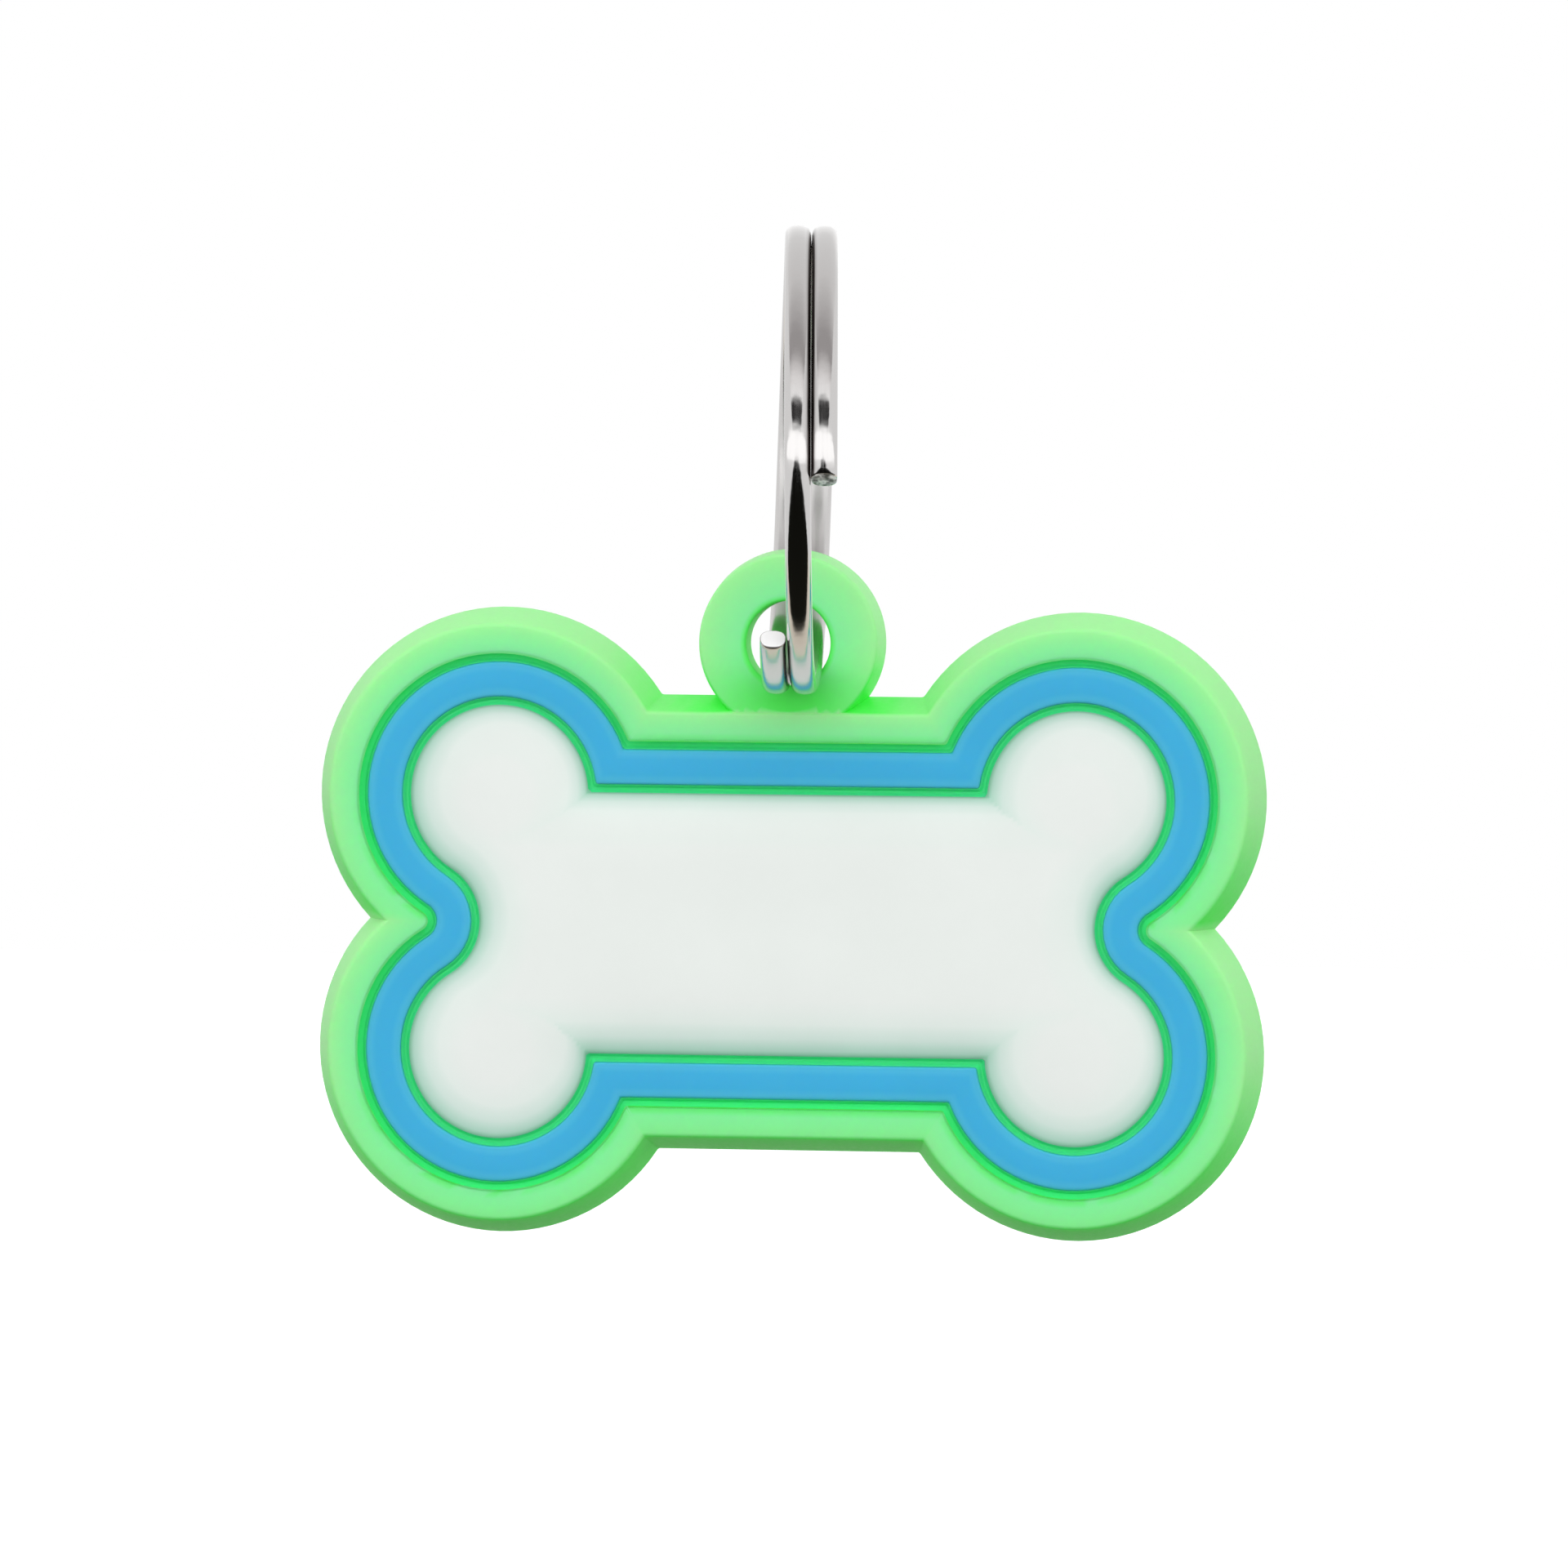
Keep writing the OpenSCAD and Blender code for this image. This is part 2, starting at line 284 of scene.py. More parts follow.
def rounded(points, steps=4):
    """A profile of (line, height) points. One with a radius as its third number has its corner rounded."""
    out = [points[0][:2]]
    for before, here, after in zip(points, points[1:], points[2:]):
        if len(here) < 3:
            out.append(here)
            continue
        b, h, a = (np.array(p[:2], float) for p in (before, here, after))
        u, v = (b - h) / np.linalg.norm(b - h), (a - h) / np.linalg.norm(a - h)
        half = math.acos(float(u @ v)) / 2
        reach = min(here[2] / math.tan(half), 0.49 * np.linalg.norm(b - h), 0.49 * np.linalg.norm(a - h))
        centre = h + (u + v) / np.linalg.norm(u + v) * reach / math.cos(half)
        first, last = h + u * reach - centre, h + v * reach - centre
        turn = math.atan2(first[0] * last[1] - first[1] * last[0], float(first @ last))
        for i in range(steps + 1):
            c, s = math.cos(turn * i / steps), math.sin(turn * i / steps)
            out.append(tuple(centre + (first[0] * c - first[1] * s, first[0] * s + first[1] * c)))
    out.append(points[-1][:2])
    return out


def loft(name, profile, material, closed):
    """A solid swept round the bone's outline. Profile points are (line, height) from outside inwards."""
    rings = []
    for line, height in profile:
        flat = bone_outline(line)
        rings.append(in_frame(np.column_stack([flat, np.full(len(flat), height)])))
    n = len(rings[0])
    spans = [(a, a + 1) for a in range(len(rings) - 1)]
    if closed:
        spans.append((len(rings) - 1, 0))
    faces = []
    for a, b in spans:
        for i in range(n):
            j = (i + 1) % n
            faces.append((a * n + i, a * n + j, b * n + j, b * n + i))
    if not closed:
        faces.append(range(n))
        faces.append(range((len(rings) - 1) * n, len(rings) * n))
    return new_piece(name, np.vstack(rings), faces, material)


# Sizes and colours that a user would change


def colour_property(name, description, hex_colour):
    """A colour, from its sRGB hex value."""
    return bpy.props.FloatVectorProperty(
        name=name, description=description, subtype="COLOR", size=4, default=linear(hex_colour)
    )


def length_property(name, description, millimetres):
    """A length, from its millimetres."""
    return bpy.props.FloatProperty(
        name=name, description=description, unit="LENGTH", default=millimetres * MM
    )


def angle_property(name, description, degrees):
    """An angle, from its degrees."""
    return bpy.props.FloatProperty(
        name=name, description=description, subtype="ANGLE", default=math.radians(degrees)
    )


class PvcSettings(bpy.types.PropertyGroup):
    """Colours of the soft PVC, with those of its painted light and shade."""

    face_green: colour_property("Face green", "Green of the rim and the ear's face", "88F5A5")
    # Painted highlight: paler green on the rim's and ear's outer edges, most where they face up
    highlight_green: colour_property("Edge green", "Paler green of the outer edges, where the PVC thins", "A6F3A0")
    # Painted shade: fuller green on walls facing down, in corners and the ear's hole, and the ring's shadow
    # on the ear's foot
    shade_green: colour_property("Full green", "Fuller green of corners and of walls that face down", "56FA5E")
    # Painted shade: deep, saturated green in the grooves
    groove_shade_green: colour_property("Groove green", "Deep green in the grooves", "3CF888")
    stripe_blue: colour_property("Stripe blue", "Blue of the stripe", "3FB5E4")
    panel_white: colour_property("Panel white", "White of the name panel", "EEF3EF")


class MouldingSettings(bpy.types.PropertyGroup):
    """Sizes of the moulded face."""

    edge_round: length_property("Edge rounding", "Rounding of the rim's outer edge", 0.45)
    groove_round: length_property("Groove rounding", "Rounding of the grooves' edges", 0.07)
    groove_depth: length_property("Groove depth", "Depth of the grooves under the rim", 0.5)
    stripe_crown: length_property("Stripe crown", "How far the stripe's middle stands over its edges", 0.03)
    panel_rise: length_property("Panel rise", "Rise of the name panel from its edge to its crown", 0.5)
    panel_fullness: bpy.props.FloatProperty(
        name="Panel fullness",
        description="How soon the name panel rises to its crown; 1 is a plain dome",
        default=2.0,
    )


class RingSettings(bpy.types.PropertyGroup):
    """Sizes of the split ring. Its coils lie a little nearer each other than the solid's."""

    outer_diameter: length_property("Outer diameter", "Over the outside", 24.62)
    sag: length_property("Sag", "How far the ring hangs under the solid's top", 0.36)
    wire_width: length_property("Wire width", "Along the ring's axis", 1.36)
    wire_thickness: length_property("Wire thickness", "Along the radius", 1.1)
    fullness: bpy.props.FloatProperty(
        name="Wire fullness",
        description="Shape of the wire's section: 2 is an ellipse, more is squarer",
        default=2.4,
    )
    coil_pitch: length_property("Coil pitch", "From one coil to the next", 1.475)
    spring: length_property("Spring", "Scale of how far the coils spring aside of an even winding", 0.4)
    outer_end: angle_property("Outer end", "Angle of the outer end from the top, over the front", 93)
    inner_end: angle_property("Inner end", "Angle of the inner end from the top, over the front", 142)
    end_slant: angle_property("End slant", "Slant of the outer end's cut", 34)
    turn: angle_property("Turn", "Turn of the ring about the vertical", 4.8)
    lean: angle_property("Lean", "Lean of the ring's top to the right", 0.3)


class StudioSettings(bpy.types.PropertyGroup):
    """Where the camera stands."""

    distance: length_property("Camera distance", "From the tag", 500)
    field_width: length_property("Field width", "Width seen at the tag", 83.5)
    azimuth: angle_property("Azimuth", "How far the camera stands to the right", 5.8)
    elevation: angle_property("Elevation", "How far the camera stands above", 2)
    roll: angle_property("Roll", "How far the object appears turned clockwise", 0.5)


# Materials


def soft_pvc(name, colour_of, through):
    """Soft PVC, moulded against a ground steel tool: satin, a little translucent, with a fine even grain.

    colour_of adds the nodes that give its colour and returns the last. through is how far red, green
    and blue light go in it, against each other.
    """
    material, tree = new_material(name)
    colour = colour_of(tree)
    place = add(tree, "ShaderNodeTexCoord").outputs["Object"]
    # Clouds about 6 mm across, as the paste's pigment settles
    clouds = add(tree, "ShaderNodeTexNoise", {"Vector": place, "Scale": 1 / (6 * MM), "Detail": 3.0})
    shade = add(tree, "ShaderNodeMapRange", (clouds, 0.3, 0.7, 0.975, 1.0))
    coloured = add(tree, "ShaderNodeMix", (1.0, colour, shade), data_type="RGBA", blend_type="MULTIPLY")
    # Grain of the tool's ground face, drawn at 0.25 mm so that it shows
    grain = add(tree, "ShaderNodeTexNoise", {"Vector": place, "Scale": 1 / (0.25 * MM), "Detail": 2.0})
    bump = add(tree, "ShaderNodeBump", {"Height": grain, "Strength": 0.25, "Distance": 0.004 * MM})
    sheen = add(tree, "ShaderNodeMapRange", (grain, 0.3, 0.7, 0.48, 0.58))
    shader = add(
        tree,
        "ShaderNodeBsdfPrincipled",
        {
            "Base Color": coloured,
            "Roughness": sheen,
            "IOR": 1.53,
            "Specular IOR Level": 0.3,
            "Subsurface Weight": 0.6,
            "Subsurface Radius": through,
            "Subsurface Scale": 1.2 * MM,
            "Normal": bump,
        },
    )
    add(tree, "ShaderNodeOutputMaterial", {"Surface": shader})
    return material


def green_pvc(pvc):
    """Green PVC with painted light and shade: paler to its outer edges, fuller in its corners, on walls
    facing down and in the ring's shadow, and deepest in the grooves.
    """

    def colour_of(tree):
        depth, highlight_share, full = (
            add(tree, "ShaderNodeAttribute", attribute_name=name).outputs["Fac"]
            for name in ("depth", "highlight_share", "full")
        )
        # Painted highlight: paler green towards the outer edges
        highlighted = add(tree, "ShaderNodeMix", (highlight_share, pvc.face_green, pvc.highlight_green), data_type="RGBA")
        # Painted shade: fuller green on walls facing down, in corners, in the hole and in the ring's shadow
        side = add(tree, "ShaderNodeMix", (full, highlighted, pvc.shade_green), data_type="RGBA")
        # Painted shade in the grooves, fuller the deeper under the rim
        deep = add(tree, "ShaderNodeMapRange", (depth, 0.02, 0.3), interpolation_type="SMOOTHSTEP")
        return add(tree, "ShaderNodeMix", (deep, side, pvc.groove_shade_green), data_type="RGBA")

    return soft_pvc("green_soft_pvc", colour_of, (0.15, 1.0, 0.25))


def blue_pvc(pvc):
    """Blue PVC of the stripe, lighter along its rounded edges as a painted highlight, and greener at its very
    edges.
    """

    def colour_of(tree):
        edge = add(tree, "ShaderNodeAttribute", attribute_name="edge").outputs["Fac"]
        # Painted highlight: lighter blue along the stripe's rounded edges
        ramp = add(tree, "ShaderNodeValToRGB", (edge,))
        return set_ramp(ramp, [(0.0, "18B8B0"), (0.07, "48B8E2"), (0.3, "4ABBE6"), (0.55, pvc.stripe_blue)])

    return soft_pvc("blue_soft_pvc", colour_of, (0.2, 0.6, 1.0))


def white_pvc(pvc):
    """White PVC of the panel, darker and greener towards its edge as painted shade and green light from the
    moulding.
    """

    def colour_of(tree):
        edge = add(tree, "ShaderNodeAttribute", attribute_name="edge").outputs["Fac"]
        near = add(tree, "ShaderNodeMapRange", {"Value": edge, "From Max": 3.0})
        ramp = add(tree, "ShaderNodeValToRGB", (near,))
        # Painted shade, tinted green, from the panel's edge inwards
        edge_shade_tints = [(0.0, "80CDA4"), (0.07, "B6DFCC"), (0.25, "D9ECE3"), (0.5, "E9F3ED"), (1.0, pvc.panel_white)]
        return set_ramp(ramp, edge_shade_tints)

    return soft_pvc("white_soft_pvc", colour_of, (1.0, 1.0, 1.0))


def nickel_steel():
    """Spring steel wire with bright nickel plating: a mirror, softened by the fine draw marks along it."""
    material, tree = new_material("nickel_plated_steel")
    along, around, outward, cut, between = (
        add(tree, "ShaderNodeAttribute", attribute_name=name).outputs["Fac"]
        for name in ("along", "around", "outward", "cut", "between")
    )
    place = add(tree, "ShaderNodeTexCoord").outputs["Object"]
    # Draw marks about 0.12 mm wide and 6 mm long, coarser than real ones so that they show
    marks_along = add(tree, "ShaderNodeMath", (along, 1 / 6.0), operation="MULTIPLY")
    marks_around = add(tree, "ShaderNodeMath", (around, 1 / 0.12), operation="MULTIPLY")
    spot = add(tree, "ShaderNodeCombineXYZ", (marks_along, marks_around))
    marks = add(tree, "ShaderNodeTexNoise", {"Vector": spot, "Scale": 1.0, "Detail": 3.0})
    marked = add(tree, "ShaderNodeBump", {"Height": marks, "Strength": 0.3, "Distance": 0.002 * MM})
    polished = add(tree, "ShaderNodeMapRange", (marks, 0.3, 0.7, 0.07, 0.14))
    # Soft dents of the winding, 1.2 mm across
    dents = add(tree, "ShaderNodeTexNoise", {"Vector": place, "Scale": 1 / (1.2 * MM), "Detail": 2.0})
    dented = {"Height": dents, "Strength": 0.5, "Distance": 0.03 * MM, "Normal": marked}
    uneven = add(tree, "ShaderNodeBump", dented)
    # Tumbling doesn't reach the inside, the sheared ends are left as cut, and the foot rubs in the hole
    hidden = add(tree, "ShaderNodeMapRange", (outward, -0.9, -0.3, 0.34, 0.0))
    torn = add(tree, "ShaderNodeMath", (cut, 0.1), operation="GREATER_THAN")
    sheared = add(tree, "ShaderNodeMath", (torn, 0.4), operation="MULTIPLY")
    height = add(tree, "ShaderNodeSeparateXYZ", (place,)).outputs["Z"]
    rubbed = add(tree, "ShaderNodeMapRange", (height, -17 * MM, -21.5 * MM, 0.0, 0.2))
    rough = polished
    for dull in (hidden, sheared, rubbed):
        rough = add(tree, "ShaderNodeMath", (dull, rough), operation="MAXIMUM")
    # The two cut ends are one bare steel: the inner end, which faces up into the light, is white as a painted
    # highlight
    colours = (torn, linear("D8D6D5"), linear("FFFFFF"))
    plated = add(tree, "ShaderNodeMix", colours, data_type="RGBA")
    # Tears of the shears on the outer end, about 0.4 mm apart, in darker greys as painted shade, as that end
    # faces down
    tears = add(tree, "ShaderNodeTexNoise", {"Vector": place, "Scale": 1 / (0.4 * MM), "Detail": 2.0})
    tears_and_shade = add(tree, "ShaderNodeValToRGB", (tears,))
    set_ramp(tears_and_shade, [(0.38, "5A5856"), (0.5, "B4B1AF"), (0.62, "FFFDFB")])
    outer_cut = add(tree, "ShaderNodeMath", (cut, 0.75), operation="GREATER_THAN")
    metal = add(tree, "ShaderNodeMix", (outer_cut, plated, tears_and_shade), data_type="RGBA")
    # Painted shade where one coil faces the other, each darkened in the other's shade
    shaded_between = add(tree, "ShaderNodeMix", (between, metal, linear("6E6866")), data_type="RGBA")
    mirrors = add(tree, "ShaderNodeMath", (torn, -0.75, 1.0), operation="MULTIPLY_ADD")
    finish = {"Base Color": shaded_between, "Metallic": mirrors, "Roughness": rough, "Normal": uneven}
    shader = add(tree, "ShaderNodeBsdfPrincipled", finish)
    add(tree, "ShaderNodeOutputMaterial", {"Surface": shader})
    return material


# Pieces


def ear_with_hole(material):
    """The ear's disc as a closed revolve round its hole."""
    mouth, face_round = 0.25, 0.35
    # Circles across the face carry its painted light and shade from the hole to the edge
    across = [(r, EAR_FACE_Z) for r in (4.35, 4.0, 3.6, 3.2, 2.85, 2.6)]
    outline = rounded(
        [
            (EAR_HOLE_R, TAG_T / 2),
            (EAR_HOLE_R, 0.0, mouth),
            (EAR_BACK_R, 0.0, BACK_ROUND),
            (EAR_FACE_R, EAR_FACE_Z, face_round),
            *across,
            (EAR_HOLE_R, EAR_FACE_Z, mouth),
            (EAR_HOLE_R, TAG_T / 2),
        ],
        steps=6,
    )[:-1]
    count = 128
    n = len(outline)
    vertices = [
        (r * math.cos(a), EAR_Y + r * math.sin(a), z)
        for r, z in outline
        for a in np.linspace(0, 2 * math.pi, count, endpoint=False)
    ]
    faces = []
    for i in range(n):
        here, after = i * count, (i + 1) % n * count
        for j in range(count):
            k = (j + 1) % count
            faces.append((here + j, here + k, after + k, after + j))
    return new_piece("ear", in_frame(vertices), faces, material)


def painted_light_shares(piece, line):
    """How much painted highlight (paler green) and painted shade (fuller green) each vertex of the moulding
    has, from 0 to 1.
    """
    x, y, z = tag_places(piece)
    # 1 on the walls, 0 on the face and the back
    wall = np.clip(1.4 - 1.4 * np.abs(vertex_values(piece, "normal")[:, 1]), 0, 1)
    from_hole = np.hypot(x, y - EAR_Y)
    on_ear = (line > RIM_LINE + 0.05) & (from_hole < EAR_BACK_R + 0.02) & (y > 0)
    # How far the outer edge next to each vertex faces up
    up = np.where(on_ear, (y - EAR_Y) / np.maximum(from_hole, 1), line_faces(x, y)[1])
    across_ear = (from_hole - EAR_HOLE_R) / (EAR_FACE_R - EAR_HOLE_R)
    across_rim = (line - GROOVE_LINE) / (RIM_LINE - GROOVE_LINE)
    outwards = np.clip(np.where(on_ear, across_ear, across_rim), 0, 1) ** 1.3
    # Painted highlight: paler towards the outer edge, half as much where the edge faces down
    highlight_share = outwards * np.clip((up + 1) / 0.8, 0.5, 1)
    # Painted shade on walls and edges that face down, and a little on every wall
    below = np.clip(-up, 0, 1)
    below = 0.1 * wall + 1.3 * below * wall + 0.3 * below * outwards
    # Painted shade on the waist's top wall beside the ear
    waist_top_shade = 0.6 * wall * np.clip((10 - np.abs(x)) / 3, 0, 1) * (y > 0) * ~on_ear
    # Painted shade in the corners between ear and waist, and the ring's painted shadow on the ear's foot
    # under its hole
    corner = np.exp(-((np.abs(x) - 4.14) ** 2 + (y - 12.2) ** 2) / 1.6)
    foot = np.exp(-(((x - 0.2) / 2.4) ** 2) / 2 - ((y - EAR_Y + 2.9) / 1.3) ** 2 / 2) * on_ear
    # Painted shade on the wall of the ear's hole
    bore_shade = on_ear * np.clip((EAR_HOLE_R + 0.35 - from_hole) / 0.3, 0, 1)
    full = np.clip(below + waist_top_shade + corner * wall + foot + bore_shade, 0, 1)
    # The plain back has one even green
    back = z < 0.02
    return np.where(back, 0.4, highlight_share), np.where(back, 0.05, full)


class TAG_OT_moulding(bpy.types.Operator):
    """Builds the green moulding with its ear, rim, grooves and pockets"""

    bl_idname = "pet_tag.moulding"
    bl_label = "Green moulding"

    def execute(self, context):
        size = context.scene.tag_moulding
        material = green_pvc(context.scene.tag_pvc)
        outer_round = size.groove_round / MM
        inner_round, bank_round = 0.04, 0.02
        groove_z = TAG_T - size.groove_depth / MM
        panel_bank_z = PANEL_CROWN_Z - PANEL_LAP - size.panel_rise / MM
        # A groove's side leans by this much, and the bank between groove and pocket is this wide on top
        lean, bank = 0.12, 0.05
        # Lines across the rim carry its painted light and shade from the outer edge to the groove
        across = [(RIM_LINE - inset, TAG_T) for inset in (0.4, 0.7, 1.1, 1.6)]
        # The flat faces of the back and of the panel's pocket begin this far in from their edges
        back_inset, floor_inset = 1.0, 0.5
        profile = rounded(
            [
                (BACK_LINE - back_inset, 0.0),
                (BACK_LINE, 0.0, BACK_ROUND),
                (RIM_LINE, TAG_T, size.edge_round / MM),
                *across,
                (GROOVE_LINE, TAG_T, outer_round),
                (GROOVE_LINE - lean, groove_z, outer_round),
                (BAND_LINE + bank + lean, groove_z, outer_round),
                (BAND_LINE + bank, BANK_Z, bank_round),
                (BAND_LINE, BANK_Z),
                (BAND_LINE, STRIPE_FLOOR_Z),
                (BAND_INNER_LINE, STRIPE_FLOOR_Z),
                (BAND_INNER_LINE, BANK_Z),
                (BAND_INNER_LINE - bank, BANK_Z, bank_round),
                (BAND_INNER_LINE - bank - lean, groove_z, inner_round),
                (PANEL_LINE + bank + lean, groove_z, inner_round),
                (PANEL_LINE + bank, panel_bank_z, bank_round),
                (PANEL_LINE, panel_bank_z),
                (PANEL_LINE, PANEL_FLOOR_Z),
                (PANEL_LINE - floor_inset, PANEL_FLOOR_Z),
            ]
        )
        piece = loft("tag_moulding", profile, material, closed=False)
        ear = ear_with_hole(material)
        joined = piece.modifiers.new("ear", "BOOLEAN")
        joined.operation = "UNION"
        joined.solver = "EXACT"
        joined.object = ear
        settle(piece)
        bpy.data.objects.remove(ear)
        smooth(piece, 32)
        x, y, z = tag_places(piece)
        line = line_at(x, y)
        in_groove = (line < GROOVE_LINE + 0.01) & (np.abs(y) < EAR_Y)
        keep_attribute(piece, "depth", np.where(in_groove, TAG_T - z, 0.0))
        highlight_share, full = painted_light_shares(piece, line)
        keep_attribute(piece, "highlight_share", highlight_share)
        keep_attribute(piece, "full", full)
        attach(piece, "tag")
        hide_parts("tag_body")
        return {"FINISHED"}


class TAG_OT_stripe(bpy.types.Operator):
    """Builds the blue stripe, a little crowned between its rounded edges"""

    bl_idname = "pet_tag.stripe"
    bl_label = "Blue stripe"

    def execute(self, context):
        crown = context.scene.tag_moulding.stripe_crown / MM
        edge = 0.16
        middle = (BAND_LINE + BAND_INNER_LINE) / 2
        half = (BAND_LINE - BAND_INNER_LINE) / 2
        # The rounded edge and half of the crowned top, from outside inwards, and the same mirrored
        side = [(half, STRIPE_FLOOR_Z)]
        for a in np.linspace(0, math.pi / 2, 7):
            side.append((half - edge * (1 - math.cos(a)), STRIPE_Z - crown - edge * (1 - math.sin(a))))
        for share in np.linspace(1, 0, 6)[1:-1]:
            side.append((share * (half - edge), STRIPE_Z - crown * share**2))
        profile = [(middle + out, z) for out, z in side] + [(middle, STRIPE_Z)]
        profile += [(middle - out, z) for out, z in reversed(side)]
        piece = loft("blue_stripe", profile, blue_pvc(context.scene.tag_pvc), closed=True)
        smooth(piece, 40)
        x, y, _ = tag_places(piece)
        keep_attribute(piece, "edge", np.clip(half - np.abs(line_at(x, y) - middle), 0, None))
        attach(piece, "tag")
        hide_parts("colour_band")
        return {"FINISHED"}


def membrane(inside, cell):
    """How high a stretched skin rises over each node of a grid when blown up from below.

    The rise goes from 0 at the skin's rim to 1. inside is each node's distance inside the rim, negative
    outside, with cell between nodes. Where a neighbour is outside, the rim's own place between the two
    is used.
    """
    held = inside > 0
    neighbours = [(0, 1), (0, -1), (1, 1), (1, -1)]
    reach = []
    for axis, step in neighbours:
        beyond = np.roll(inside, step, axis)
        share = np.where(beyond > 0, 1.0, inside / np.maximum(inside - beyond, 1e-9))
        reach.append(np.clip(share, 0.05, 1.0))
    up, down, left, right = reach
    pull = [2 / (a * (a + b)) for a, b in ((up, down), (down, up), (left, right), (right, left))]
    total = sum(pull)
    rows, columns = np.indices(inside.shape)
    height = np.zeros_like(inside)
    sweeps, over = 600, 1.95
    for _ in range(sweeps):
        for colour in (0, 1):
            drawn = sum(p * np.roll(height, step, axis) for p, (axis, step) in zip(pull, neighbours))
            moved = height + over * ((drawn + cell * cell) / total - height)
            height = np.where(held & ((rows + columns) % 2 == colour), moved, height)
    return height / height.max()


class TAG_OT_panel(bpy.types.Operator):
    """Builds the white name panel, pillowed like a skin blown up in its outline"""

    bl_idname = "pet_tag.panel"
    bl_label = "White name panel"

    def execute(self, context):
        size = context.scene.tag_moulding
        high = size.panel_rise / MM
        edge_z = PANEL_CROWN_Z - high
        cell = 0.2
        half_x = LOBE_X + PANEL_LINE + 2 * cell
        half_y = LOBE_Y + PANEL_LINE + 2 * cell
        # Shares of a cell that keep the grid's nodes off the outline
        xs = np.arange(-half_x, half_x + cell, cell) + cell * 0.37
        ys = np.arange(-half_y, half_y + cell, cell) + cell * 0.41
        inside = PANEL_LINE + PANEL_LAP - line_at(*np.meshgrid(xs, ys))
        lift = membrane(inside, cell)
        vertices, index = [], {}
        for r, c in np.argwhere(inside > 0):
            index[(r, c)] = len(vertices)
            rise = 1 - (1 - min(lift[r, c], 1.0)) ** size.panel_fullness
            vertices.append((xs[c], ys[r], edge_z + rise * high))

        def rim_vertex(a, b):
            """The vertex where the outline crosses the grid's edge from a to b."""
            key = (a, b) if a < b else (b, a)
            if key not in index:
                p, q = (np.array([xs[k[1]], ys[k[0]]]) for k in (a, b))
                if inside[a] < 0:
                    p, q = q, p
                for _ in range(24):
                    m = (p + q) / 2
                    if PANEL_LINE + PANEL_LAP - line_at(*m) > 0:
                        p = m
                    else:
                        q = m
                index[key] = len(vertices)
                vertices.append((p[0], p[1], edge_z))
            return index[key]

        faces = []
        for r in range(len(ys) - 1):
            for c in range(len(xs) - 1):
                corners = [(r, c), (r, c + 1), (r + 1, c + 1), (r + 1, c)]
                face = []
                for here, after in zip(corners, corners[1:] + corners[:1]):
                    if inside[here] > 0:
                        face.append(index[here])
                    if (inside[here] > 0) != (inside[after] > 0):
                        face.append(rim_vertex(here, after))
                if len(face) > 2:
                    faces.append(face)
        piece = new_piece("white_panel", in_frame(vertices), faces, white_pvc(context.scene.tag_pvc))
        work = bmesh.new()
        work.from_mesh(piece.data)
        rim = [e for e in work.edges if e.is_boundary]
        skirt = bmesh.ops.extrude_edge_only(work, edges=rim)["geom"]
        floor_y = in_frame([(0, 0, PANEL_FLOOR_Z)])[0][1]
        for item in skirt:
            if isinstance(item, bmesh.types.BMVert):
                item.co.y = floor_y
        bmesh.ops.holes_fill(work, edges=[e for e in work.edges if e.is_boundary])
        bmesh.ops.recalc_face_normals(work, faces=work.faces)
        work.to_mesh(piece.data)
        work.free()
        smooth(piece, 50)
        x, y, _ = tag_places(piece)
        # Painted shade: the tint reaches in less far along the top and right, and a little further along the
        # others
        right, up = line_faces(x, y)
        facing = 0.6 * right + 0.9 * up
        inwards = PANEL_LINE + PANEL_LAP - line_at(x, y)
        shorter = 0.6 * np.clip(facing, 0, 1) - 0.2 * np.clip(-facing, 0, 1)
        shorter *= np.clip(2.4 - inwards, 0, 1)
        keep_attribute(piece, "edge", inwards * (1 + shorter))
        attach(piece, "tag")
        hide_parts("name_panel")
        return {"FINISHED"}


# How far the coils spring aside of an even winding, at shares of the wire's length from its outer end:
# a quarter is no spring at all. The outer end lies tight and the back stands off.
SPRUNG = [
    (0.0, 0.22), (0.07, 0.36), (0.139, 0.42), (0.198, 0.25), (0.283, 0.74), (0.407, 0.52),
    (0.44, 0.43), (0.54, 0.48), (0.675, 0.6), (0.82, 0.33), (0.943, 0.4), (1.0, 0.6),
]


